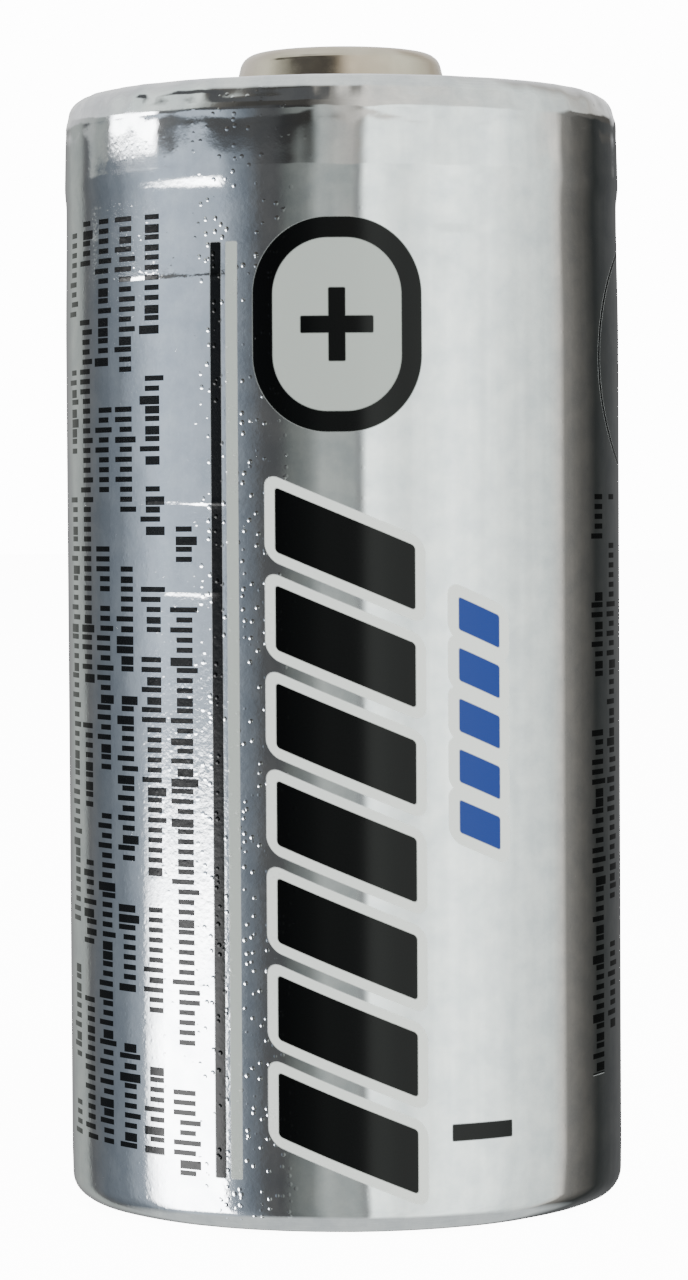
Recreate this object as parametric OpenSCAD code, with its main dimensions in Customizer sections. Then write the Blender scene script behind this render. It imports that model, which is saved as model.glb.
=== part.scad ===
// Cylindrical lithium cell in the 123A / CR17345 format, cut to its separate pieces.
// +Z is up. The origin is the centre of the negative contact, on the surface it stands on.

/* [Cell] */
// Height over both contacts
cell_h = 34.5; // [34:0.1:35.2]
// Diameter over the printed film
cell_d = 16.8; // [16.6:0.1:17]
// Height of the button above the film's shoulder
button_rise = 1.35; // [1.2:0.05:1.5]
// Fold radius at the film's shoulder
shoulder_r = 0.6; // [0.5:0.05:0.7]

/* [Can] */
// Thickness of the drawn steel sheet
can_t = 0.25; // [0.2:0.01:0.28]
// Outer radius where the floor turns up into the wall
corner_r = 0.6; // [0.5:0.05:0.8]
// Diameter of the pressed contact pad under the floor
pad_d = 12.6; // [10:0.2:13]
// Height of that pad
pad_h = 0.14; // [0.12:0.01:0.2]
// Middle of the rolled bead, measured down from the film's shoulder
bead_drop = 3.55; // [3.5:0.05:3.7]
// Radius of the bead's groove
groove_r = 0.5; // [0.45:0.05:0.55]
// Radius of the lips at the groove's mouth
lip_r = 0.4; // [0.35:0.05:0.45]
// Outer radius of the crimped rim
crimp_r = 0.7; // [0.6:0.05:0.75]
// Inner diameter of the crimped rim
crimp_d = 12.4; // [12:0.1:12.8]
// How far the rim's free edge is pressed down into the gasket
crimp_dip = 0.15; // [0:0.01:0.2]

/* [Film and washer] */
// Thickness of the printed film
film_t = 0.1; // [0.08:0.01:0.12]
// How far the film sinks into the bead's groove
film_dip = 0.05; // [0:0.01:0.1]
// Width of the film's fold under the floor
fold_low = 1.2; // [0.8:0.1:1.6]
// Width of the film's fold over the washer
fold_top = 1.5; // [1:0.1:2]
// Thickness of the insulating washer
washer_t = 0.15; // [0.1:0.01:0.2]
// Clear width between the washer and the button
washer_clear = 0.4; // [0.2:0.05:0.6]

/* [Terminal] */
// Diameter of the button at its foot
button_d = 6.9; // [6.6:0.05:7.1]
// How much narrower the button is at its top
button_draft = 0.8; // [0.3:0.05:1]
// Radius of the button's top edge
button_edge_r = 0.5; // [0.4:0.01:0.55]
// Radius between the button and its flange
button_foot_r = 0.25; // [0.2:0.05:0.3]
// Thickness of the terminal's sheet
cap_t = 0.3; // [0.25:0.01:0.32]
// Width of each gas window in the button's foot
window_w = 1.6; // [1.2:0.1:2]
// Height of each gas window
window_h = 0.5; // [0.4:0.05:0.55]

/* [Seal and vent] */
// Diameter of the discs clamped in the gasket
stack_d = 14; // [13.8:0.1:14.1]
// Thickness of the gasket lip between the rim and the terminal
gasket_lip_t = 0.45; // [0.4:0.01:0.5]
// Inner diameter of the gasket's skirt
gasket_skirt_d = 13.2; // [13:0.1:13.4]
// Thickness of the polymer in the resettable fuse
ptc_core_t = 0.25; // [0.2:0.01:0.3]
// Thickness of each nickel foil on the fuse
ptc_foil_t = 0.05; // [0.03:0.01:0.06]
// Inner diameter of the fuse
ptc_hole_d = 7.8; // [7.4:0.1:8.4]
// Thickness of the cover's sheet
cover_t = 0.3; // [0.25:0.01:0.32]
// Inner diameter of the vent well
well_d = 3.5; // [3.2:0.1:3.8]
// Depth of the vent well below the cover's top face
well_depth = 2.5; // [2.3:0.1:2.55]
// Diameter of the vent ball
ball_d = 2; // [1.8:0.1:2.1]

/* [Electrode roll] */
// Diameter of the open core
core_d = 3.3; // [3:0.1:3.6]
// Diameter of the finished roll
roll_d = 15.4; // [15.2:0.05:15.4]
// Thickness of each separator
sep_t = 0.06; // [0.04:0.01:0.08]
// Thickness of the collector grid
grid_t = 0.08; // [0.06:0.01:0.1]
// Thickness of the lithium foil
anode_t = 0.18; // [0.14:0.01:0.2]
// Width of the cathode tab
tab_w = 2; // [1.6:0.1:2.2]

/* [Hidden] */

$fn = 96;
arc_steps = 10;      // straight steps in each arc of a profile
fit_gap = 0.02;      // room between pieces that slide together at assembly

// Can, from the film inwards
can_r = cell_d / 2 - film_t;
can_in_r = can_r - can_t;
shoulder_z = cell_h - button_rise;
can_top_z = shoulder_z - film_t - washer_t;
bead_z = shoulder_z - bead_drop;
bead_r = can_r - lip_r;
bead_rise = groove_r + lip_r;
crimp_knee_r = can_r - crimp_r - 0.6;
floor_z = pad_h + can_t;

// Stack of discs under the rim, from the top down
flange_z = can_top_z - can_t - gasket_lip_t;
ptc_top_z = flange_z - cap_t;
cover_top_z = ptc_top_z - ptc_core_t - 2 * ptc_foil_t;
cover_low_z = cover_top_z - cover_t;
stack_r = stack_d / 2;
button_top = [(button_d - button_draft) / 2 - button_edge_r, cell_h - button_edge_r];
button_foot = [button_d / 2 + button_foot_r, flange_z + button_foot_r];
button_reach = button_foot - button_top;
button_lean = atan2(button_reach[1], button_reach[0])
    + acos((button_edge_r + button_foot_r) / norm(button_reach));
gasket_reach = 0.35;         // how far the gasket shows inside the rim's edge
skirt_turn = 165;            // where the gasket's skirt leaves the bead

// Vent
well_r = well_d / 2;
well_floor_z = cover_top_z - well_depth;
well_mouth_r = 0.5;
well_corner_r = 0.3;
vent_hole_r = 0.8;
bushing_h = 1.9;
bushing_lead_in = 0.25;      // chamfer that guides the ball in
ball_z = well_floor_z + fit_gap + bushing_h / 2;

// Spiral: half rings on two centres, half a pitch apart, make one even winding
turns = 7;
half_turns = 2 * turns - 1;
core_r = core_d / 2;
pitch = (roll_d - core_d) / 2 / turns;
layer_gap = 0.01;
coat_t = (pitch - 2 * sep_t - grid_t - anode_t - 4 * layer_gap) / 2;
coat_inner_at = sep_t + layer_gap;
grid_at = coat_inner_at + coat_t;
coat_outer_at = grid_at + grid_t;
sep_outer_at = coat_outer_at + coat_t + layer_gap;
anode_at = sep_outer_at + sep_t + layer_gap;

// Heights inside the can
insulator_t = 0.2;
top_insulator_t = 0.25;
sep_low_z = floor_z + insulator_t + 0.4;
sep_top_z = bead_z - 1.5;
coat_low_z = sep_low_z + 0.5;
coat_top_z = sep_top_z - 0.6;
grid_top_z = coat_top_z + 0.4;
top_insulator_z = sep_top_z + 0.15;
insulator_hole_r = 2.3;
bottom_insulator_r = can_r - corner_r - 0.1;

// Leads
lead_t = 0.08;
lead_angle = 22;             // how far round the roll the anode lead reaches
lead_at = 45;
lead_low_z = sep_low_z - 0.3;
lead_inner_h = 13;
lead_outer_h = 6;
wrap_r = roll_d / 2 + lead_t + 2 * fit_gap;
wrap_t = 0.08;
tape_t = 0.04;
tape_angle = 50;
tape_at = 200;
tape_margin = 3;
tab_t = 0.1;
tab_turn = 3;                // winding that carries the tab
tab_y = core_r + tab_turn * pitch + grid_at + grid_t / 2;
tab_bend_r = [0.3, 0.4, 0.65];
tab_fold_y = [tab_y + tab_bend_r[0], 5.5, 3.9];
tab_end_y = 5.6;
tab_weld_z = cover_low_z - tab_t / 2;
tab_fold_z = tab_weld_z - 2 * tab_bend_r[2];
tab_low_z = tab_fold_z - 2 * tab_bend_r[1];

// Points along an arc about [x, z], from angle a to angle b
function arc(centre, r, a, b) =
    [for (i = [0 : arc_steps]) let (t = a + (b - a) * i / arc_steps) centre + r * [cos(t), sin(t)]];

function reversed(path) = [for (i = [len(path) - 1 : -1 : 0]) path[i]];

// One face of the can's sheet, t inside the outer face, from the floor's centre to the rim
function can_face(t) = concat(
    [[0, t], [pad_d / 2, t], [pad_d / 2 + pad_h, pad_h + t]],
    arc([can_r - corner_r, pad_h + corner_r], corner_r - t, 270, 360),
    arc([bead_r, bead_z - bead_rise], lip_r - t, 0, 90),
    arc([bead_r, bead_z], groove_r + t, 270, 90),
    arc([bead_r, bead_z + bead_rise], lip_r - t, 270, 360),
    arc([can_r - crimp_r, can_top_z - crimp_r], crimp_r - t, 0, 90),
    [[crimp_knee_r, can_top_z - t], [crimp_d / 2, can_top_z - crimp_dip - t]]
);

// One face of the film, t inside the outer face, from the lower fold to the upper fold
function film_face(t) = concat(
    [[can_r - fold_low, pad_h - film_t + t]],
    arc([can_r - corner_r, pad_h + corner_r], corner_r + film_t - t, 270, 360),
    [for (i = [0 : 2 * arc_steps]) let (u = i / arc_steps - 1)
        [can_r + film_t - t - film_dip * (1 + cos(180 * u)) / 2, bead_z + bead_rise * u]],
    arc([cell_d / 2 - shoulder_r, shoulder_z - shoulder_r], shoulder_r - t, 0, 90),
    [[can_r - fold_top, shoulder_z - t]]
);

// One face of the terminal's sheet, t under the outer face, from the axis to the flange's edge
function cap_face(t) = concat(
    [[0, cell_h - t]],
    arc(button_top, button_edge_r - t, 90, button_lean),
    arc(button_foot, button_foot_r + t, 180 + button_lean, 270),
    [[stack_r, flange_z - t]]
);

// One face of the cover's sheet, t under the upper face, from the rim to the vent hole
function cover_face(t) = concat(
    [[stack_r, cover_top_z - t]],
    arc([well_r + well_mouth_r, cover_top_z - well_mouth_r], well_mouth_r - t, 90, 180),
    arc([well_r - well_corner_r, well_floor_z + well_corner_r], well_corner_r + t, 360, 270),
    [[vent_hole_r, well_floor_z - t]]
);

// One edge of the folded tab, s to the left of its middle line, from the grid to the weld
function tab_edge(s) = concat(
    [[tab_y - s, grid_top_z]],
    arc([tab_fold_y[0], tab_low_z - tab_bend_r[0]], tab_bend_r[0] + s, 180, 90),
    arc([tab_fold_y[1], tab_low_z + tab_bend_r[1]], tab_bend_r[1] - s, 270, 450),
    arc([tab_fold_y[2], tab_fold_z + tab_bend_r[2]], tab_bend_r[2] + s, 270, 90),
    [[tab_end_y, tab_weld_z + s]]
);

// Turned ring between two radii
module ring(r_in, r_out, z, h) {
    rotate_extrude()
        translate([r_in, z])
            square([r_out - r_in, h]);
}

// Part of a ring, from angle a over the given sweep
module ring_part(r_in, r_out, z, h, a, sweep) {
    rotate([0, 0, a])
        rotate_extrude(angle = sweep)
            translate([r_in, z])
                square([r_out - r_in, h]);
}

// One layer of the roll: starts at the core, then lies one pitch further out on every turn
module wound_layer(at, t, z_low, z_top) {
    for (i = [0 : half_turns - 1]) {
        r = core_r + at + i * pitch / 2;
        translate([(i % 2) * pitch / 2, 0, 0])
            ring_part(r, r + t, z_low, z_top - z_low, 180 * i, 180);
    }
}

// Metallised printed film, shrunk over both ends
module label_sleeve() {
    color("silver")
        rotate_extrude()
            polygon(concat(film_face(0), reversed(film_face(film_t))));
}

// Fibre washer that keeps the can's rim away from the positive contact
module insulating_washer() {
    color("ivory")
        ring(button_d / 2 + washer_clear, can_r - crimp_r + 0.15, can_top_z, washer_t);
}

// Deep-drawn negative can: pressed pad, rolled bead and crimped rim
module can() {
    color("lightsteelblue")
        rotate_extrude()
            polygon(concat(can_face(0), reversed(can_face(can_t))));
}

// Moulded gasket: skirt over the bead, pocket for the discs, lip under the rim
module gasket() {
    rim_low_z = can_top_z - can_t - fit_gap;
    lip_in_r = crimp_d / 2 - gasket_reach;
    color("whitesmoke")
        rotate_extrude()
            polygon(concat(
                [[gasket_skirt_d / 2, bead_z + 0.2]],
                arc([bead_r, bead_z], groove_r + can_t + fit_gap, skirt_turn, 90),
                [[can_in_r - fit_gap, bead_z + bead_rise]],
                arc([can_r - crimp_r, can_top_z - crimp_r], crimp_r - can_t - fit_gap, 0, 90),
                [[crimp_knee_r, rim_low_z], [crimp_d / 2, rim_low_z - crimp_dip]],
                [[lip_in_r, rim_low_z - crimp_dip], [lip_in_r, flange_z]],
                [[stack_r + fit_gap, flange_z], [stack_r + fit_gap, cover_low_z]],
                [[gasket_skirt_d / 2, cover_low_z]]
            ));
}

// Pressed positive contact with gas windows round its foot
module terminal_cap() {
    windows = 4;
    color("gainsboro")
        difference() {
            rotate_extrude()
                polygon(concat(cap_face(0), reversed(cap_face(cap_t))));
            for (i = [0 : windows - 1])
                rotate([0, 0, 45 + 360 * i / windows])
                    translate([button_d / 2, 0, flange_z + button_foot_r + window_h / 2])
                        cube([4 * cap_t, window_w, window_h], center = true);
        }
}

// Conductive polymer of the resettable fuse
module ptc_core() {
    color("dimgray")
        ring(ptc_hole_d / 2, stack_r, cover_top_z + ptc_foil_t, ptc_core_t);
}

// Nickel foils on both faces of the fuse
module ptc_foils() {
    color("darkkhaki")
        for (z = [cover_top_z, ptc_top_z - ptc_foil_t])
            ring(ptc_hole_d / 2, stack_r, z, ptc_foil_t);
}

// Pressed cover with a well for the vent
module cell_cover() {
    color("lightgray")
        rotate_extrude()
            polygon(concat(cover_face(0), reversed(cover_face(cover_t))));
}

// Plastic bushing that grips the ball in the well
module vent_bushing() {
    z = well_floor_z + fit_gap;
    bore_r = ball_d / 2 + fit_gap;
    color("peru")
        rotate_extrude()
            polygon([
                [bore_r, z],
                [well_r - well_corner_r, z],
                [well_r - fit_gap, z + well_corner_r],
                [well_r - fit_gap, z + bushing_h],
                [bore_r + bushing_lead_in, z + bushing_h],
                [bore_r, z + bushing_h - bushing_lead_in]
            ]);
}

// Ball that seals the vent and is driven out by over-pressure
module vent_ball() {
    color("slategray")
        translate([0, 0, ball_z])
            sphere(d = ball_d);
}

// Folded strip from the cathode grid to the underside of the cover
module cathode_tab() {
    color("silver")
        rotate([90, 0, 90])
            linear_extrude(height = tab_w, center = true)
                polygon(concat(tab_edge(tab_t / 2), reversed(tab_edge(-tab_t / 2))));
}

// Disc over the roll, with a core hole and a slot for the tab
module top_insulator() {
    slot_room = 0.6;
    color("white")
        difference() {
            ring(insulator_hole_r, can_in_r - 0.2, top_insulator_z, top_insulator_t);
            translate([0, tab_y, top_insulator_z + top_insulator_t / 2])
                cube([tab_w + slot_room, tab_t + slot_room, 2 * top_insulator_t], center = true);
        }
}

// Disc between the roll and the floor of the can
module bottom_insulator() {
    color("white")
        ring(insulator_hole_r, bottom_insulator_r, floor_z, insulator_t);
}

// Porous separator on the core side of the cathode
module separator_inner() {
    color("aliceblue")
        wound_layer(0, sep_t, sep_low_z, sep_top_z);
}

// Manganese dioxide pressed on the core side of the grid
module cathode_coat_inner() {
    color("darkslategray")
        wound_layer(coat_inner_at, coat_t, coat_low_z, coat_top_z);
}

// Collector grid, left bare along its top edge for the tab
module cathode_grid() {
    color("gray")
        wound_layer(grid_at, grid_t, coat_low_z, grid_top_z);
}

// Manganese dioxide pressed on the outer side of the grid
module cathode_coat_outer() {
    color("darkslategray")
        wound_layer(coat_outer_at, coat_t, coat_low_z, coat_top_z);
}

// Porous separator between the cathode and the next turn of lithium
module separator_outer() {
    color("aliceblue")
        wound_layer(sep_outer_at, sep_t, sep_low_z, sep_top_z);
}

// Lithium foil, the outermost layer of the roll
module lithium_anode() {
    color("lightslategray")
        wound_layer(anode_at, anode_t, coat_low_z, coat_top_z);
}

// Nickel strip from the lithium, under the wrap's edge, to the wall of the can
module anode_lead() {
    inner_r = roll_d / 2 + fit_gap;
    outer_r = can_in_r - fit_gap;
    color("silver")
        rotate([0, 0, lead_at])
            rotate_extrude(angle = lead_angle)
                polygon([
                    [inner_r, lead_low_z],
                    [outer_r, lead_low_z],
                    [outer_r, lead_low_z + lead_outer_h],
                    [outer_r - lead_t, lead_low_z + lead_outer_h],
                    [outer_r - lead_t, lead_low_z + lead_t],
                    [inner_r + lead_t, lead_low_z + lead_t],
                    [inner_r + lead_t, lead_low_z + lead_inner_h],
                    [inner_r, lead_low_z + lead_inner_h]
                ]);
}

// Insulating film round the finished roll
module roll_wrap() {
    color("lightcyan")
        ring(wrap_r, wrap_r + wrap_t, sep_low_z, sep_top_z - sep_low_z);
}

// Tape that holds the end of the wrap
module closing_tape() {
    r = wrap_r + wrap_t;
    color("gold")
        ring_part(r, r + tape_t, sep_low_z + tape_margin, sep_top_z - sep_low_z - 2 * tape_margin,
            tape_at, tape_angle);
}

label_sleeve();
insulating_washer();
can();
gasket();
terminal_cap();
ptc_core();
ptc_foils();
cell_cover();
vent_bushing();
vent_ball();
cathode_tab();
top_insulator();
bottom_insulator();
separator_inner();
cathode_coat_inner();
cathode_grid();
cathode_coat_outer();
separator_outer();
lithium_anode();
anode_lead();
roll_wrap();
closing_tape();
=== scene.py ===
import math

import bmesh
import bpy
from mathutils import Matrix, Vector, noise


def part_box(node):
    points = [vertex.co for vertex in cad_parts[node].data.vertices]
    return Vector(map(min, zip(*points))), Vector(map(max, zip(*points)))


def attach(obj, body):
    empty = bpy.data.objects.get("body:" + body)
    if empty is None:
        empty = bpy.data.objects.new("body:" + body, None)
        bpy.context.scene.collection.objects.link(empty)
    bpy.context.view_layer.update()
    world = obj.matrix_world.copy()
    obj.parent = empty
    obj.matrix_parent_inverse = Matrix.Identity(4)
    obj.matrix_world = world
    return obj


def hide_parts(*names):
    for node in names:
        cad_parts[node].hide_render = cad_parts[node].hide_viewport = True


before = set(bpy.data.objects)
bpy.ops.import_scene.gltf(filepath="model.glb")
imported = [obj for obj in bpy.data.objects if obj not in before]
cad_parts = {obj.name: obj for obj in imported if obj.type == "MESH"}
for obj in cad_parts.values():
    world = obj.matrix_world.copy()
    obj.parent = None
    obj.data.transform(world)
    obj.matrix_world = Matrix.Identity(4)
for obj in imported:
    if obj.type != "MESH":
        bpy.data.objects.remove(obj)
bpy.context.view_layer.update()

MM = 0.001

# --- Cathode strips ---------------------------------------------------------------------------
# Manganese dioxide with carbon and binder, pressed on both sides of an expanded steel grid.
# The coating stops short of the grid's top edge, where the tab is welded.


def linear(hex_colour):
    """An sRGB hex colour as linear RGBA."""
    channels = [int(hex_colour[i:i + 2], 16) / 255 for i in (1, 3, 5)]
    return [c / 12.92 if c <= 0.04045 else ((c + 0.055) / 1.055) ** 2.4 for c in channels] + [1]


def add(tree, kind, links=None, **settings):
    """Adds one shader node. A link's value is a number, a colour, a socket or a whole node."""
    node = tree.nodes.new("ShaderNode" + kind)
    for key, value in settings.items():
        setattr(node, key, value)
    for key, value in (links or {}).items():
        if isinstance(value, bpy.types.Node):
            value = value.outputs[0]
        if isinstance(value, bpy.types.NodeSocket):
            tree.links.new(value, node.inputs[key])
        else:
            node.inputs[key].default_value = value
    return node


def new_material(name, metallic=0.0, roughness=0.5):
    """An empty node material and its principled shader."""
    material = bpy.data.materials.new(name)
    material.use_nodes = True
    tree = material.node_tree
    tree.nodes.clear()
    shader = add(tree, "BsdfPrincipled", {"Metallic": metallic, "Roughness": roughness})
    add(tree, "OutputMaterial", {"Surface": shader})
    return material, tree, shader


def mottle(tree, size_mm, light, dark, stretch=(1, 1, 1), detail=3.0):
    """Blotches of two colours, and the pattern behind them, by the size of the largest."""
    place = add(tree, "Mapping", {"Vector": add(tree, "TexCoord").outputs["Object"],
                                  "Scale": [part / (size_mm * MM) for part in stretch]})
    pattern = add(tree, "TexNoise", {"Vector": place, "Scale": 1.0, "Detail": detail}).outputs[0]
    blend = add(tree, "MapRange", {"Value": pattern, "From Min": 0.35, "From Max": 0.65})
    colour = add(tree, "Mix", {0: blend, 6: linear(light), 7: linear(dark)}, data_type="RGBA")
    return colour.outputs[2], pattern


def surface(tree, shader, colour, relief, depth_mm):
    """Gives the shader a colour, and a relief of the given depth."""
    bump = add(tree, "Bump", {"Height": relief, "Strength": 1.0, "Distance": depth_mm * MM})
    tree.links.new(colour, shader.inputs["Base Color"])
    tree.links.new(bump.outputs[0], shader.inputs["Normal"])


def dress(material, *nodes):
    """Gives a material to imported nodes, whose meshes stay as they are."""
    for node in nodes:
        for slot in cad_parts[node].material_slots:
            slot.material = material


# Pressed manganese dioxide: brown-black and dull, with grains of about 0.05 mm drawn at 0.12.
material, tree, shader = new_material("pressed_manganese_dioxide", roughness=0.85)
colour, grain = mottle(tree, 0.12, "#1d1a19", "#2c2826", detail=4.0)
surface(tree, shader, colour, grain, 0.02)
dress(material, "cathode_coat_inner", "cathode_coat_outer")

# Expanded stainless steel: slit and stretched into diamonds of 1.5 by 0.9 mm.
material, tree, shader = new_material("expanded_stainless_steel", metallic=1.0, roughness=0.35)
spot = add(tree, "SeparateXYZ", {0: add(tree, "TexCoord").outputs["Object"]})
turn = add(tree, "Math", {0: spot.outputs["Y"], 1: spot.outputs["X"]}, operation="ARCTAN2")
grid_mm = 5.5                                    # radius that the strand spacing is worked out at
diamonds_round = round(2 * math.pi * grid_mm / 1.5)
turn = add(tree, "Math", {0: turn, 1: diamonds_round / (2 * math.pi)}, operation="MULTIPLY")
strand = 1.0
for lean in (1, -1):
    bias = add(tree, "Math", {0: spot.outputs["Z"], 1: lean / (0.9 * MM), 2: turn},
               operation="MULTIPLY_ADD")
    bias = add(tree, "Math", {0: bias, 1: 0.5}, operation="PINGPONG")
    strand = add(tree, "Math", {0: strand, 1: bias}, operation="MINIMUM")
steel = add(tree, "MapRange", {"Value": strand, "From Min": 0.10, "From Max": 0.16})
colour = add(tree, "Mix", {0: steel, 6: linear("#bdbbb6"), 7: linear("#3a3735")}, data_type="RGBA")
surface(tree, shader, colour.outputs[2], strand, -0.05)
dress(material, "cathode_grid")

# --- Lithium strip and its lead -----------------------------------------------------------------
# Soft extruded lithium foil, rolled in with the cathode. A nickel strip pressed into its outer
# end is folded under the roll and touches the can.

# Lithium: silvery when cut, dulled in patches by the dry-room air.
material, tree, shader = new_material("lithium_foil", metallic=1.0, roughness=0.42)
colour, haze = mottle(tree, 1.8, "#c9c9c4", "#a3a3a2", stretch=(1, 1, 0.4))
surface(tree, shader, colour, haze, 0.01)
dress(material, "lithium_anode")

# Rolled nickel strip: a warm grey with rolling lines along its length, drawn 0.1 mm apart.
material, tree, shader = new_material("rolled_nickel_strip", metallic=1.0, roughness=0.28)
colour, lines = mottle(tree, 0.10, "#c9c3b6", "#b5afa3", stretch=(1, 1, 0.05))
surface(tree, shader, colour, lines, 0.002)
dress(material, "anode_lead")

# --- Separators, wrap and closing tape ------------------------------------------------------------
# Microporous polypropylene film lies between all the layers, a plain film wraps the roll, and a
# short tape holds its end.

# Microporous film: white from its pores, with a faint machine direction.
material, tree, shader = new_material("microporous_polypropylene", roughness=0.55)
colour, fibres = mottle(tree, 0.30, "#f2f3f3", "#e3e6e8", stretch=(0.3, 0.3, 1))
surface(tree, shader, colour, fibres, 0.004)
dress(material, "separator_inner", "separator_outer")

# Plain polypropylene film: smoother and a little bluer.
material, tree, shader = new_material("plain_polypropylene_film", roughness=0.22)
colour, waves = mottle(tree, 2.2, "#dfe6ea", "#cfd8de", detail=1.0)
surface(tree, shader, colour, waves, 0.02)
dress(material, "roll_wrap")

# Polyimide tape: amber, with the adhesive's small bubbles showing through.
material, tree, shader = new_material("polyimide_tape", roughness=0.25)
colour, bubbles = mottle(tree, 0.5, "#b8741c", "#9a5a12")
surface(tree, shader, colour, bubbles, 0.006)
dress(material, "closing_tape")

# --- Insulating discs -----------------------------------------------------------------------------
# Die-cut discs that keep the roll's ends off the can and the cover. The upper one has a slot
# for the tab.

# Glass-filled polyester sheet: off-white, with short fibres 0.4 mm long.
material, tree, shader = new_material("polyester_insulating_sheet", roughness=0.6)
colour, fibres = mottle(tree, 0.40, "#ece9df", "#dbd7ca", stretch=(1, 0.35, 1), detail=5.0)
surface(tree, shader, colour, fibres, 0.012)
dress(material, "top_insulator", "bottom_insulator")

# --- Can ------------------------------------------------------------------------------------------
# Steel drawn into a deep cup and nickel plated inside and out. The punch leaves faint upright
# lines on the wall, and handling leaves a haze of short scratches on the pad under it.

material, tree, shader = new_material("drawn_nickel_plated_steel", metallic=1.0)
colour, lines = mottle(tree, 0.14, "#cbc8c1", "#b9b6af", stretch=(1, 1, 0.04), detail=4.0)
wear = mottle(tree, 1.6, "#ffffff", "#000000", detail=5.0)[1]
dulled = add(tree, "MapRange", {"Value": wear, "From Min": 0.35, "From Max": 0.65,
                                "To Min": 0.16, "To Max": 0.32})
tree.links.new(dulled.outputs[0], shader.inputs["Roughness"])
surface(tree, shader, colour, lines, 0.0025)
dress(material, "can")

# --- Cathode tab ----------------------------------------------------------------------------------
# A folded strip, welded to the grid's bare edge and to the underside of the cover.

# Rolled aluminium strip: whiter than nickel, with fine rolling lines.
material, tree, shader = new_material("rolled_aluminium_strip", metallic=1.0, roughness=0.3)
colour, lines = mottle(tree, 0.10, "#e4e5e6", "#d0d2d4", stretch=(1, 0.05, 0.05))
surface(tree, shader, colour, lines, 0.002)
dress(material, "cathode_tab")

# --- Cover and vent -------------------------------------------------------------------------------
# A pressed cover with a well. A plastic bushing grips a ball in the well, and over-pressure
# drives the ball out.

# Pressed nickel-plated steel: brighter than the can, with a soft ripple from the press.
material, tree, shader = new_material("pressed_nickel_plated_steel", metallic=1.0, roughness=0.2)
colour, ripples = mottle(tree, 0.9, "#cdc9c1", "#bfbbb2")
surface(tree, shader, colour, ripples, 0.004)
dress(material, "cell_cover")

# Natural polypropylene: milky and slightly waxy.
material, tree, shader = new_material("moulded_polypropylene", roughness=0.38)
colour, flow = mottle(tree, 0.7, "#ddd9cc", "#cfcabb", stretch=(1, 1, 0.5))
surface(tree, shader, colour, flow, 0.004)
shader.inputs["Subsurface Weight"].default_value = 0.2
shader.inputs["Subsurface Scale"].default_value = 0.4 * MM
dress(material, "vent_bushing")

# Bearing steel: polished, with a few pits of a tenth of a millimetre.
material, tree, shader = new_material("polished_bearing_steel", metallic=1.0, roughness=0.09)
colour, pits = mottle(tree, 0.12, "#c2c4c7", "#b4b6ba", detail=1.0)
surface(tree, shader, colour, pits, 0.001)
dress(material, "vent_ball")

# --- Resettable fuse ------------------------------------------------------------------------------
# Carbon-filled polyethylene between two nickel foils. It heats and turns resistive when the
# current is too high.

# Carbon-filled polyethylene: black and slightly rough.
material, tree, shader = new_material("carbon_filled_polyethylene", roughness=0.62)
colour, grain = mottle(tree, 0.15, "#1a1a1b", "#262627", detail=4.0)
surface(tree, shader, colour, grain, 0.008)
dress(material, "ptc_core")

# Electrodeposited nickel foil: matt and yellowish, with nodules of 0.1 mm.
material, tree, shader = new_material("electrodeposited_nickel_foil", metallic=1.0, roughness=0.45)
colour, nodules = mottle(tree, 0.10, "#c4bca6", "#aea58f", detail=2.0)
surface(tree, shader, colour, nodules, 0.005)
dress(material, "ptc_foils")

# --- Gasket ---------------------------------------------------------------------------------------
# Injection-moulded ring that the rim is crimped on. It insulates the positive stack of discs
# from the can and seals the cell.

# Natural nylon: creamy and slightly see-through.
material, tree, shader = new_material("moulded_nylon", roughness=0.42)
colour, flow = mottle(tree, 1.1, "#e8e3d3", "#dcd6c4", stretch=(1, 1, 0.4))
surface(tree, shader, colour, flow, 0.005)
shader.inputs["Subsurface Weight"].default_value = 0.25
shader.inputs["Subsurface Scale"].default_value = 0.5 * MM
dress(material, "gasket")

# --- Terminal cap ---------------------------------------------------------------------------------
# The positive contact: sheet steel pressed into a button with four gas windows round its foot,
# then barrel plated with nickel and rubbed by the other caps in the barrel.

# Barrel-plated nickel: warm grey, bright on the flats and hazed in small patches.
material, tree, shader = new_material("barrel_plated_nickel", metallic=1.0)
colour, ripples = mottle(tree, 1.3, "#d6cdbd", "#c8beac", detail=2.0)
haze = mottle(tree, 0.35, "#ffffff", "#000000", detail=6.0)[1]
hazed = add(tree, "MapRange", {"Value": haze, "From Min": 0.35, "From Max": 0.70,
                               "To Min": 0.13, "To Max": 0.24})
tree.links.new(hazed.outputs[0], shader.inputs["Roughness"])
surface(tree, shader, colour, ripples, 0.006)
dress(material, "terminal_cap")

# --- Insulating washer ------------------------------------------------------------------------------
# A punched ring of vulcanised fibre that lies on the can's rim, under the sleeve's fold.

# Vulcanised fibre: off-white paper fibre, matt, with fibres half a millimetre long.
material, tree, shader = new_material("vulcanised_fibre", roughness=0.75)
colour, fibres = mottle(tree, 0.45, "#efece2", "#dcd7c8", stretch=(1, 0.3, 1), detail=5.0)
surface(tree, shader, colour, fibres, 0.014)
dress(material, "insulating_washer")

# --- Printed sleeve -------------------------------------------------------------------------
# The cell's outer skin: clear plastic film with a mirror of vapour-deposited aluminium behind
# it, printed on the outside, lapped at the back and shrunk over both ends. It bridges the
# rolled bead and is gathered at the shoulder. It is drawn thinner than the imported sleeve, so
# that its gathers have room over the can.

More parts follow.
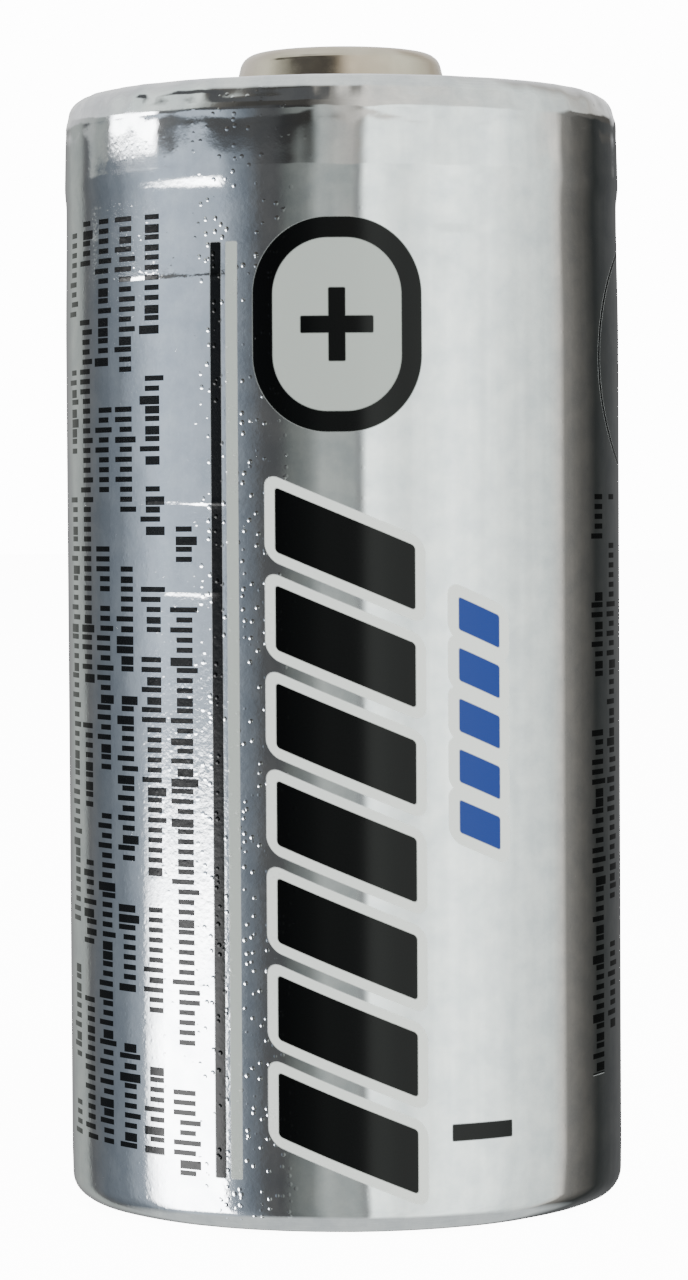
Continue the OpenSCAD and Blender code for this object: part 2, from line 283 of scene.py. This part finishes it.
sleeve_low, sleeve_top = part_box("label_sleeve")
can_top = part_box("can")[1]
sleeve_r = sleeve_top.x / MM - 0.01
can_r = can_top.x / MM
crimp_r = 0.7                                    # the can's rounded edges
crimp_z = can_top.z / MM - crimp_r
corner_r = 0.6
corner_z = 0.74
sleeve_h = sleeve_top.z / MM
foot_z = sleeve_low.z / MM + 0.01
shoulder_z = sleeve_h - 0.02
shoulder_fold_r = 0.50
foot_fold_r = 0.68
top_fold_in_r = 6.8
foot_fold_in_r = 7.1
bead_z = 29.6
bead_half = 0.9
film_t = 0.02
film_room = film_t + 0.004                        # from the can to the outside of the film
creases = [                                      # height, and the degrees round the front they span
    (27.4, -52, -22), (21.0, -58, -19), (18.4, -40, -24), (10.2, 96, 130), (23.3, -150, -108),
]
lap_half = 8.5                                   # degrees each side of the back's middle
lap_step = 0.018


def ring_points(centre_r, centre_z, radius, start, end, steps):
    """Points (radius, height) along an arc of a turned profile, angles in degrees."""
    angles = [math.radians(start + (end - start) * i / steps) for i in range(steps + 1)]
    return [(centre_r + radius * math.cos(a), centre_z + radius * math.sin(a)) for a in angles]


def straight_points(start, end, step):
    """Evenly spaced points between two profile points, without the last one."""
    count = max(1, round(math.dist(start, end) / step))
    return [tuple(a + (b - a) * i / count for a, b in zip(start, end)) for i in range(count)]


def turned(profile, steps):
    """A bmesh turned about the Z axis from profile points in millimetres."""
    mesh = bmesh.new()
    verts = [mesh.verts.new((r * MM, 0, z * MM)) for r, z in profile]
    edges = [mesh.edges.new(pair) for pair in zip(verts, verts[1:])]
    bmesh.ops.spin(mesh, geom=verts + edges, axis=(0, 0, 1), cent=(0, 0, 0),
                   angle=2 * math.pi, steps=steps, use_merge=True)
    bmesh.ops.remove_doubles(mesh, verts=mesh.verts, dist=1e-7)
    bmesh.ops.recalc_face_normals(mesh, faces=mesh.faces)
    return mesh


def finish_piece(mesh, name, material, smooth=True):
    """Turns a bmesh into an object of the cell with its material."""
    for face in mesh.faces:
        face.smooth = smooth
    data = bpy.data.meshes.new(name)
    mesh.to_mesh(data)
    mesh.free()
    data.materials.append(material)
    piece = bpy.data.objects.new(name, data)
    bpy.context.scene.collection.objects.link(piece)
    return piece


def step_between(low, high, value):
    """Smooth step from 0 at low to 1 at high."""
    t = min(1.0, max(0.0, (value - low) / (high - low)))
    return t * t * (3 - 2 * t)


def ripple(angle, z, across, along, seed):
    """Smooth noise over the cylinder, from -1 to 1, with feature sizes in millimetres."""
    return noise.noise(Vector((
        math.cos(angle) * sleeve_r / across,
        math.sin(angle) * sleeve_r / across,
        z / along + seed)))


def film_sink(angle, z):
    """How far the film lies under its nominal radius, in millimetres."""
    bend = math.degrees(angle)
    waves = 0.006 * (1 + ripple(angle, z, 3.0, 9.0, 3.1)) / 2

    waist = step_between(bead_z - 3.9, bead_z + 0.2, z)
    waist *= 1 - step_between(bead_z + 0.2, bead_z + 0.85, z)
    waist *= 0.054 + 0.020 * ripple(angle, 0, 2.4, 1.0, 7.7)

    above_bead = max(0.0, z - bead_z - 0.85)
    neck = 0.024 * above_bead
    neck += 0.010 * step_between(0, 0.5, above_bead) * ripple(angle, z, 2.6, 1.4, 12.4)

    gathers = 0.45 * ripple(angle, 0, 1.4, 1.0, 21.0) + 0.30 * ripple(angle, 0, 0.6, 1.0, 25.0)
    drawn_in = 0.085 * max(0.0, above_bead - 1.20 - gathers) ** 2

    raised = 0.0
    for crease_z, start, end in creases:
        along = step_between(start, start + 3, bend) * (1 - step_between(end - 3, end, bend))
        height = z - crease_z - 0.08 * ripple(angle, 0, 2.5, 1.0, crease_z)
        raised += along * 0.007 * max(0.0, 1 - (height / 0.09) ** 2)

    facet = step_between(30, 44, bend) * (1 - step_between(60, 74, bend))
    facet *= 0.10 * (1 - step_between(0.3, 1.3, z))
    foot = 1 - step_between(0.4, 1.6, z)
    foot *= 0.05 * (1 + ripple(angle, z, 2.2, 1.2, 31.0)) / 2

    lap = 0.0 if abs(abs(bend) - 180) < lap_half else lap_step
    return waves + waist + neck + drawn_in - raised + facet + foot + lap


def clear_of_can(r, z):
    """Moves a point of the film out until its thickness fits over the can, the bead left out."""
    for edge_r, edge_z, side in ((crimp_r, crimp_z, 1), (corner_r, corner_z, -1)):
        out_r, out_z = r - can_r + edge_r, side * (z - edge_z)
        if out_r > 0 and out_z > 0:
            grow = max(1.0, (edge_r + film_room) / math.hypot(out_r, out_z))
            return can_r - edge_r + out_r * grow, edge_z + side * out_z * grow
    if corner_z <= z <= crimp_z and abs(z - bead_z) > bead_half:
        return max(r, can_r + film_room), z
    return r, z


sleeve_profile = straight_points((foot_fold_in_r, foot_z), (sleeve_r - foot_fold_r, foot_z), 0.2)
sleeve_profile += ring_points(sleeve_r - foot_fold_r, foot_z + foot_fold_r, foot_fold_r, 270, 360, 9)
rows = straight_points((sleeve_r, foot_z + foot_fold_r + 0.2), (sleeve_r, 28.4), 0.50)
rows += [(sleeve_r, z + step) for z, _, _ in creases for step in (-0.14, -0.07, 0.0, 0.07, 0.14)]
sleeve_profile += sorted(rows, key=lambda point: point[1])
sleeve_profile += straight_points((sleeve_r, 28.4), (sleeve_r, shoulder_z - shoulder_fold_r), 0.13)
sleeve_profile += ring_points(sleeve_r - shoulder_fold_r, shoulder_z - shoulder_fold_r,
                              shoulder_fold_r, 0, 90, 9)
sleeve_profile += straight_points((sleeve_r - shoulder_fold_r - 0.15, shoulder_z),
                                  (top_fold_in_r, shoulder_z), 0.15)
sleeve_profile.append((top_fold_in_r, shoulder_z))
film_mesh = turned(sleeve_profile, 288)
if sum(face.normal.dot(face.calc_center_median()) for face in film_mesh.faces) < 0:
    bmesh.ops.reverse_faces(film_mesh, faces=film_mesh.faces)

for vert in film_mesh.verts:
    x, y, z = (c / MM for c in vert.co)
    angle, r = math.atan2(x, -y), math.hypot(x, y)
    on_wall = max(0.0, r - top_fold_in_r) / (sleeve_r - top_fold_in_r)
    on_fold = 1 - step_between(sleeve_r - 0.9, sleeve_r - 0.3, r)
    new_r = r - on_wall * film_sink(angle, z)
    pleat = ripple(angle, 0, 0.55, 1.0, 40.0 if z > 5 else 50.0)
    if z > shoulder_z - 1:
        z -= on_fold * 0.035 * (1 + pleat) / 2
        new_r += on_fold * 0.10 * ripple(angle, 0, 1.6, 1.0, 60.0) * (1 - step_between(6.8, 7.3, r))
    elif z < 1:
        z += on_fold * 0.02 * (1 + pleat) / 2
    new_r, z = clear_of_can(new_r, z)
    vert.co = Vector((math.sin(angle) * new_r, -math.cos(angle) * new_r, z)) * MM

# The print's own map: across is the way round from the back lap, up is the height.
uv_layer = film_mesh.loops.layers.uv.new("print")
for face in film_mesh.faces:
    middle = face.calc_center_median()
    face_turn = math.atan2(middle.x, -middle.y) / (2 * math.pi) + 0.5
    for loop in face.loops:
        turn = math.atan2(loop.vert.co.x, -loop.vert.co.y) / (2 * math.pi) + 0.5
        turn += round(face_turn - turn)
        loop[uv_layer].uv = (turn, loop.vert.co.z / MM / sleeve_h)

# Metallised film: the mirror is behind clear plastic, so it is bright and faintly blue, with
# orange peel a fifth of a millimetre across where it was drawn on. Inks cover the mirror.
film_material, tree, shader = new_material("metallised_film_printed")
round_mm = 2 * math.pi * sleeve_top.x / MM
print_map = add(tree, "UVMap", uv_map="print")
print_mm = add(tree, "VectorMath", {0: print_map, 1: (round_mm, sleeve_h, 0),
                                    2: (-round_mm / 2, 0, 0)}, operation="MULTIPLY_ADD")
across_up = add(tree, "SeparateXYZ", {0: print_mm})
across, up = across_up.outputs["X"], across_up.outputs["Y"]


def bars(tree, centre, size, corner, slant=0.0, pitch=1.0, count=1):
    """Distance in millimetres to the nearest of a column of slanted, round-cornered bars."""
    local = add(tree, "VectorMath", {0: print_mm, 1: (*centre, 0)}, operation="SUBTRACT")
    x = add(tree, "VectorMath", {0: local, 1: (1, 0, 0)}, operation="DOT_PRODUCT").outputs["Value"]
    y = add(tree, "VectorMath", {0: local, 1: (slant, 1, 0)},
            operation="DOT_PRODUCT").outputs["Value"]
    row = add(tree, "Math", {0: y, 1: pitch}, operation="DIVIDE")
    row = add(tree, "Math", {0: row}, operation="ROUND")
    row = add(tree, "Clamp", {"Value": row, "Min": -(count // 2), "Max": count // 2})
    y = add(tree, "Math", {0: row, 1: -pitch, 2: y}, operation="MULTIPLY_ADD")
    corner_at = add(tree, "CombineXYZ", {"X": x, "Y": y})
    corner_at = add(tree, "VectorMath", {0: corner_at}, operation="ABSOLUTE")
    inner = (size[0] / 2 - corner, size[1] / 2 - corner, 0)
    corner_at = add(tree, "VectorMath", {0: corner_at, 1: inner}, operation="SUBTRACT")
    corner_at = add(tree, "VectorMath", {0: corner_at, 1: (0, 0, 0)}, operation="MAXIMUM")
    reach = add(tree, "VectorMath", {0: corner_at}, operation="LENGTH").outputs["Value"]
    return add(tree, "Math", {0: reach, 1: corner}, operation="SUBTRACT")


def inside(tree, distance, margin=0.0):
    """1 where the distance is under the margin, with an edge as soft as screen-printed ink."""
    edge = 0.02
    return add(tree, "MapRange", {"Value": distance, "From Min": margin + edge,
                                  "From Max": margin - edge, "To Min": 0, "To Max": 1})


def fine_print(tree, left, low, high, columns, column_w, seed):
    """Columns of plain upright ticks that read as small print and hold no letters."""
    tick_w, word_mm = 0.29, 2.0
    place = add(tree, "Math", {0: across, 1: left}, operation="SUBTRACT")
    place = add(tree, "Math", {0: place, 1: column_w}, operation="DIVIDE")
    column = add(tree, "Math", {0: place}, operation="FLOOR")
    from_left = add(tree, "Math", {0: place}, operation="FRACT")
    ticks = add(tree, "Math", {0: up, 1: tick_w}, operation="DIVIDE")
    tick = add(tree, "Math", {0: ticks}, operation="FLOOR")
    in_tick = add(tree, "Math", {0: ticks}, operation="FRACT")
    cell = add(tree, "CombineXYZ", {"X": column, "Y": tick, "Z": seed})
    chance = add(tree, "TexWhiteNoise", {"Vector": cell}, noise_dimensions="3D")
    three = add(tree, "SeparateColor", {0: chance.outputs["Color"]})
    gap = add(tree, "MapRange", {"Value": three.outputs[0], "From Min": 0.80, "From Max": 0.88,
                                 "To Min": 0.46, "To Max": 0.12})
    in_tick = add(tree, "Math", {0: in_tick, 1: gap}, operation="GREATER_THAN")
    rise = add(tree, "Math", {0: three.outputs[1], 1: 0.7}, operation="GREATER_THAN")
    rise = add(tree, "MapRange", {"Value": rise, "To Min": 0.30, "To Max": 0.10})
    drop = add(tree, "Math", {0: three.outputs[2], 1: 0.88}, operation="GREATER_THAN")
    drop = add(tree, "MapRange", {"Value": drop, "To Min": 0.80, "To Max": 0.95})
    above = add(tree, "Math", {0: from_left, 1: rise}, operation="GREATER_THAN")
    below = add(tree, "Math", {0: from_left, 1: drop}, operation="LESS_THAN")
    along = add(tree, "Math", {0: column, 1: 7.3, 2: seed}, operation="MULTIPLY_ADD")
    tick_mm = add(tree, "Math", {0: tick, 1: tick_w / word_mm, 2: along}, operation="MULTIPLY_ADD")
    word = add(tree, "TexNoise", {"W": tick_mm, "Scale": 1.0, "Detail": 0.0}, noise_dimensions="1D")
    word = add(tree, "Math", {0: word, 1: 0.37}, operation="GREATER_THAN")
    middle = (left + columns * column_w / 2, (low + high) / 2)
    ink = inside(tree, bars(tree, middle, (columns * column_w, high - low), 0.06))
    for part in (above, below, in_tick, word):
        ink = add(tree, "Math", {0: ink, 1: part}, operation="MULTIPLY")
    return ink


# Inks, from the first pass to the last: pale grey grounds, white keylines, black, blue.
block_at, block_size, block_slant = (0.05, 11.3), (4.05, 1.85), 0.42
block_pitch, block_count = 2.78, 7
blocks = bars(tree, block_at, block_size, 0.12, block_slant, block_pitch, block_count)
badge_at, ring_at = (-0.15, 26.0), (12.7, 25.2)
badge = bars(tree, badge_at, (4.9, 6.1), 2.2)
stripe = bars(tree, (-3.75, 15.0), (0.36, 26.8), 0.06)
pale_stripe = bars(tree, (-3.25, 15.0), (0.36, 26.8), 0.06)
plus_up = bars(tree, badge_at, (0.50, 2.1), 0.05)
plus_across = bars(tree, badge_at, (2.1, 0.50), 0.05)
ring = bars(tree, ring_at, (6.6, 6.6), 3.3)
ring_dot = bars(tree, ring_at, (1.6, 1.6), 0.8)
minus = bars(tree, (4.1, 2.9), (2.0, 0.5), 0.05)
blue_bars = bars(tree, (4.05, 14.6), (1.35, 0.95), 0.08, block_slant, 1.45, 5)
small_print = [
    fine_print(tree, -11.25, 2.1, 29.3, 5, 1.15, 1.7),
    fine_print(tree, -5.50, 1.5, 20.4, 1, 1.15, 3.3),
    fine_print(tree, 8.75, 4.0, 21.2, 2, 1.20, 5.1),
    fine_print(tree, 12.2, 2.6, 20.6, 9, 1.15, 9.4),
    fine_print(tree, -23.8, 6.0, 28.6, 9, 1.15, 14.2),
]
dark = add(tree, "Math", {0: blocks, 1: stripe}, operation="MINIMUM")
for shape in (plus_up, plus_across, minus, ring_dot):
    dark = add(tree, "Math", {0: dark, 1: shape}, operation="MINIMUM")
black = inside(tree, dark)
badge_ring = add(tree, "Math", {0: inside(tree, badge), 1: inside(tree, badge, -0.60)},
                 operation="SUBTRACT")
thin_ring = add(tree, "Math", {0: inside(tree, ring), 1: inside(tree, ring, -0.16)},
                operation="SUBTRACT")
for line in (badge_ring, thin_ring):
    black = add(tree, "Math", {0: black, 1: line}, operation="MAXIMUM")
for words in small_print:
    black = add(tree, "Math", {0: black, 1: words}, operation="MAXIMUM")
grey = add(tree, "Math", {0: inside(tree, badge), 1: inside(tree, pale_stripe)}, operation="MAXIMUM")
keyline = add(tree, "Math", {0: inside(tree, blocks, 0.30), 1: inside(tree, blue_bars, 0.34)},
              operation="MAXIMUM")
ink_layers = [(grey, "#a9afab"), (keyline, "#e6eae7"), (black, "#060708"),
              (inside(tree, blue_bars), "#16327c")]
cloud = add(tree, "TexNoise", {"Vector": print_mm, "Scale": 1.1, "Detail": 5.0, "Roughness": 0.6})
cloud = add(tree, "MapRange", {"Value": cloud, "From Min": 0.35, "From Max": 0.65})
colour = add(tree, "Mix", {0: cloud, 6: linear("#eff2f4"), 7: linear("#d9dee3")},
             data_type="RGBA").outputs[2]
covered = 0.0
for mask, ink_colour in ink_layers:
    colour = add(tree, "Mix", {0: mask, 6: colour, 7: linear(ink_colour)},
                 data_type="RGBA").outputs[2]
    covered = add(tree, "Math", {0: covered, 1: mask}, operation="MAXIMUM")
metallic = add(tree, "Math", {0: 1.0, 1: covered}, operation="SUBTRACT")
haze = add(tree, "MapRange", {"Value": cloud, "To Min": 0.04, "To Max": 0.09})
roughness = add(tree, "MapRange", {"Value": covered, "To Min": haze, "To Max": 0.16})

# Orange peel: strong on the left of the front, where the wrap starts, and in patches behind.
grain_mm, speck_mm = 0.18, 0.20
space = add(tree, "TexCoord").outputs["Object"]
peel = add(tree, "TexNoise", {"Vector": space, "Scale": 1 / (grain_mm * MM), "Detail": 2.0,
                              "Roughness": 0.55})
patch = add(tree, "TexNoise", {"Vector": space, "Scale": 1 / (5.0 * MM), "Detail": 1.0})
patch = add(tree, "MapRange", {"Value": patch, "From Min": 0.45, "From Max": 0.70})
left_edge = add(tree, "MapRange", {"Value": across, "From Min": -1.3, "From Max": -2.2})
far_edge = add(tree, "MapRange", {"Value": across, "From Min": -13.0, "From Max": -10.2})
front_patch = add(tree, "Math", {0: left_edge, 1: far_edge}, operation="MULTIPLY")
behind = add(tree, "Math", {0: across}, operation="ABSOLUTE")
behind = add(tree, "MapRange", {"Value": behind, "From Min": 10.5, "From Max": 13.5})
behind = add(tree, "Math", {0: behind, 1: patch}, operation="MULTIPLY")
peel_area = add(tree, "Math", {0: front_patch, 1: behind}, operation="MAXIMUM")
peel_area = add(tree, "MapRange", {"Value": peel_area, "To Min": 0.02, "To Max": 1.0})
stretched = add(tree, "MapRange", {"Value": up, "From Min": bead_z, "From Max": bead_z + 1,
                                   "To Min": 1.0, "To Max": 0.35})
peel_area = add(tree, "Math", {0: peel_area, 1: stretched}, operation="MULTIPLY")
specks = add(tree, "TexVoronoi", {"Vector": space, "Scale": 1 / (speck_mm * MM)})
kept = add(tree, "SeparateColor", {0: specks.outputs["Color"]}).outputs[0]
kept = add(tree, "Math", {0: kept, 1: 0.60}, operation="GREATER_THAN")
speck = add(tree, "MapRange", {"Value": specks.outputs["Distance"], "From Min": 0.40,
                               "From Max": 0.10}, interpolation_type="SMOOTHSTEP")
speck = add(tree, "Math", {0: speck, 1: kept}, operation="MULTIPLY")
strip = add(tree, "MapRange", {"Value": across, "From Min": -4.6, "From Max": -3.9,
                               "To Min": 0.4, "To Max": 3.2})
peel = add(tree, "Math", {0: speck, 1: strip, 2: peel}, operation="MULTIPLY_ADD")
peel_height = add(tree, "Math", {0: peel, 1: peel_area}, operation="MULTIPLY")
relief = add(tree, "Bump", {"Height": peel_height, "Strength": 1.0, "Distance": 0.0028 * MM})
for socket, value in (("Base Color", colour), ("Metallic", metallic), ("Roughness", roughness),
                      ("Normal", relief)):
    tree.links.new(value if isinstance(value, bpy.types.NodeSocket) else value.outputs[0],
                   shader.inputs[socket])
shader.inputs["Specular IOR Level"].default_value = 0.2

film = finish_piece(film_mesh, "printed_film", film_material)
wall = film.modifiers.new("film thickness", "SOLIDIFY")
wall.thickness = film_t * MM
wall.offset = -1
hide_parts("label_sleeve")
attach(film, "root")

# --- Studio ---------------------------------------------------------------------------------
# A pale table and a room painted in tones by compass angle, for the mirror film to reflect: a
# wide white card on the right, a grey-blue card and three patches on the left, two of them
# bright, a dark gap near the camera, and a dark wall behind right.
floor_mesh = bmesh.new()
bmesh.ops.create_grid(floor_mesh, x_segments=1, y_segments=1, size=2.0)
bmesh.ops.translate(floor_mesh, verts=floor_mesh.verts, vec=(0, 0, -0.01 * MM))
floor_material, tree, shader = new_material("table_paper")
floor_tone = add(tree, "TexNoise", {"Vector": add(tree, "TexCoord").outputs["Object"],
                                    "Scale": 30.0, "Detail": 4.0})
floor_colour = add(tree, "Mix", {0: floor_tone, 6: linear("#f4f4f2"), 7: linear("#efefed")},
                   data_type="RGBA").outputs[2]
tree.links.new(floor_colour, shader.inputs["Base Color"])
shader.inputs["Roughness"].default_value = 0.9
shader.inputs["Specular IOR Level"].default_value = 0.1
shader.inputs["Emission Color"].default_value = (1, 1, 1, 1)
shader.inputs["Emission Strength"].default_value = 12.0
floor = finish_piece(floor_mesh, "table", floor_material, smooth=False)
floor.visible_glossy = False
floor.visible_diffuse = False

world = bpy.data.worlds.new("studio")
bpy.context.scene.world = world
world.use_nodes = True
tree = world.node_tree
tree.nodes.clear()
way = add(tree, "SeparateXYZ", {0: add(tree, "TexCoord").outputs["Generated"]})
towards = add(tree, "Math", {0: way.outputs["Y"], 1: -1.0}, operation="MULTIPLY")
turn = add(tree, "Math", {0: way.outputs["X"], 1: towards}, operation="ARCTAN2")
turn = add(tree, "MapRange", {"Value": turn, "From Min": -math.pi, "From Max": math.pi})
rise = add(tree, "Math", {0: way.outputs["Z"]}, operation="ARCSINE")
rise = add(tree, "Math", {0: rise}, operation="DEGREES")

COOL, PLAIN, WARM = (0.86, 0.97, 1.10), (1.0, 1.0, 1.0), (1.06, 1.0, 0.90)
LEAF = (0.97, 1.03, 0.97)
eye_level = [
    (-180, 0.4, PLAIN), (-165, 0.30, PLAIN), (-150, 0.50, LEAF),
    (-139, 0.45, LEAF), (-133, 0.15, PLAIN), (-118, 0.17, COOL), (-104, 0.26, COOL),
    (-90, 0.62, COOL), (-80, 0.95, COOL), (-52, 0.72, COOL),
    (-46, 0.40, COOL), (-40, 0.22, COOL), (-33, 0.12, PLAIN), (-26, 0.10, PLAIN),
    (-22, 0.17, LEAF), (-14, 0.26, LEAF), (-8, 0.55, LEAF), (-2, 0.50, LEAF),
    (4, 0.48, LEAF), (8.0, 0.27, PLAIN), (9.4, 2.5, LEAF),
    (24, 1.7, LEAF), (45, 2.5, LEAF), (62, 2.0, LEAF), (78, 1.45, LEAF),
    (94, 1.15, LEAF), (101, 0.85, WARM), (104, 0.26, WARM), (117, 0.11, WARM),
    (129, 0.04, LEAF), (172, 0.15, PLAIN), (180, 0.4, PLAIN),
]
above_eye = [
    (-180, 1.3, PLAIN), (-150, 0.8, PLAIN), (-120, 0.45, LEAF), (-104, 0.35, PLAIN),
    (-80, 0.20, PLAIN), (-62, 0.10, PLAIN), (-30, 0.085, PLAIN), (-24, 0.045, PLAIN),
    (-12, 0.04, WARM), (-9, 0.60, LEAF), (4, 0.66, WARM), (8, 0.35, WARM),
    (11, 2.3, LEAF), (45, 1.9, LEAF), (62, 2.2, LEAF), (84, 1.3, LEAF),
    (100, 1.1, WARM), (104, 0.25, WARM), (132, 0.10, WARM), (152, 0.10, WARM),
    (168, 1.3, PLAIN), (180, 1.3, PLAIN),
]
overhead = [
    (-180, 1.3, PLAIN), (-130, 1.0, PLAIN), (-90, 1.3, LEAF), (-66, 1.1, LEAF),
    (-54, 0.16, WARM), (-42, 0.07, WARM), (-14, 0.06, WARM), (-2, 0.35, WARM),
    (10, 1.15, WARM), (90, 1.3, LEAF), (130, 0.6, WARM), (180, 1.3, PLAIN),
]


def sleeve_ramp(tree, stops):
    """Brightness and tint of the room round the cell, by compass angle from the camera."""
    ramp = add(tree, "ValToRGB", {"Fac": turn})
    elements = ramp.color_ramp.elements
    while len(elements) > 1:
        elements.remove(elements[-1])
    for i, (angle, level, tint) in enumerate(stops):
        place = angle / 360 + 0.5
        stop = elements[0] if i == 0 else elements.new(place)
        stop.position = place
        stop.color = [level * c for c in tint] + [1]
    return ramp.outputs[0]


sag = add(tree, "TexNoise", {"Vector": add(tree, "TexCoord").outputs["Generated"], "Scale": 3.2,
                             "Detail": 2.0})
sagging = add(tree, "Math", {0: sag, 1: 9.0, 2: rise}, operation="MULTIPLY_ADD")
sagging = add(tree, "Math", {0: sagging, 1: 4.5}, operation="SUBTRACT")
lift = add(tree, "MapRange", {"Value": sagging, "From Min": 6.6, "From Max": 7.8})
room = add(tree, "Mix", {0: lift, 6: sleeve_ramp(tree, eye_level), 7: sleeve_ramp(tree, above_eye)},
           data_type="RGBA").outputs[2]
ceiling = add(tree, "MapRange", {"Value": sagging, "From Min": 11.0, "From Max": 13.0})
room = add(tree, "Mix", {0: ceiling, 6: room, 7: sleeve_ramp(tree, overhead)},
           data_type="RGBA").outputs[2]
table_top = add(tree, "MapRange", {"Value": rise, "From Min": -34.0, "From Max": -46.0})
room = add(tree, "Mix", {0: table_top, 6: room, 7: (0.80, 0.83, 0.81, 1)}, data_type="RGBA").outputs[2]
zenith = add(tree, "MapRange", {"Value": rise, "From Min": 46.0, "From Max": 58.0})
room = add(tree, "Mix", {0: zenith, 6: room, 7: (1.15, 1.18, 1.13, 1)}, data_type="RGBA").outputs[2]


def lamp_patch(tree, turns, rises):
    """1 inside a patch of the room given by four compass angles and four heights."""
    inside_patch = None
    for value, (start, full, still, end), unit in ((turn, turns, 1 / 360), (rise, rises, 1)):
        offset = 0.5 if unit != 1 else 0.0
        fade_in = add(tree, "MapRange", {"Value": value, "From Min": start * unit + offset,
                                         "From Max": full * unit + offset})
        fade_out = add(tree, "MapRange", {"Value": value, "From Min": end * unit + offset,
                                          "From Max": still * unit + offset})
        both = add(tree, "Math", {0: fade_in, 1: fade_out}, operation="MULTIPLY")
        inside_patch = both if inside_patch is None else add(
            tree, "Math", {0: inside_patch, 1: both}, operation="MULTIPLY")
    return inside_patch


# Creases in the cards give the mirror faint upright streaks.
creased = add(tree, "VectorMath", {0: add(tree, "TexCoord").outputs["Generated"], 1: (1, 1, 0.35)},
              operation="MULTIPLY")
creased = add(tree, "TexNoise", {"Vector": creased, "Scale": 11.0, "Detail": 4.0, "Roughness": 0.6})
creased = add(tree, "MapRange", {"Value": creased, "From Min": 0.3, "From Max": 0.7,
                                 "To Min": 0.92, "To Max": 1.08})
room = add(tree, "VectorMath", {0: room, "Scale": creased}, operation="SCALE").outputs[0]
for turns, rises, level in (((-92, -80, -52, -49.5), (-34, -28, -6.5, -3.5), 13),
                            ((-112, -108, -84, -81), (6.8, 7.6, 11.0, 12.0), 12),
                            ((-95, -88, -10, -5), (26, 30, 40, 45), 0.11)):
    lamp = lamp_patch(tree, turns, rises)
    room = add(tree, "Mix", {0: lamp, 6: room, 7: (level, level, level, 1)},
               data_type="RGBA").outputs[2]
seen = add(tree, "LightPath").outputs["Is Camera Ray"]
room = add(tree, "Mix", {0: seen, 6: room, 7: (14, 14, 14, 1)}, data_type="RGBA").outputs[2]
add(tree, "OutputWorld", {"Surface": add(tree, "Background", {"Color": room, "Strength": 1.0})})

softbox = bpy.data.objects.new("soft_light", bpy.data.lights.new("soft_light", "AREA"))
softbox.data.shape = "DISK"
softbox.data.size = 0.35
softbox.data.energy = 5.0
softbox.location = (0.10, -0.45, 0.55)
softbox.rotation_euler = (Vector((0, 0, 0.017)) - softbox.location).to_track_quat("-Z", "Y").to_euler()
softbox.visible_glossy = False
bpy.context.scene.collection.objects.link(softbox)

# The camera stands close, a little above the cell's middle, and looks slightly down.
camera = bpy.data.objects.new("camera", bpy.data.cameras.new("camera"))
bpy.context.scene.collection.objects.link(camera)
camera_back, camera_up, camera_down_tilt, camera_roll = 123.2, 20.66, 0.0314, -0.0060
camera.data.sensor_width = 36.0
camera.data.lens = 113.9
camera.data.clip_start, camera.data.clip_end = 0.005, 10.0
camera.location = (0, -camera_back * MM, camera_up * MM)
facing = Matrix.Rotation(math.pi / 2 - camera_down_tilt, 4, "X") @ Matrix.Rotation(camera_roll, 4, "Z")
camera.rotation_euler = facing.to_euler()
bpy.context.scene.camera = camera
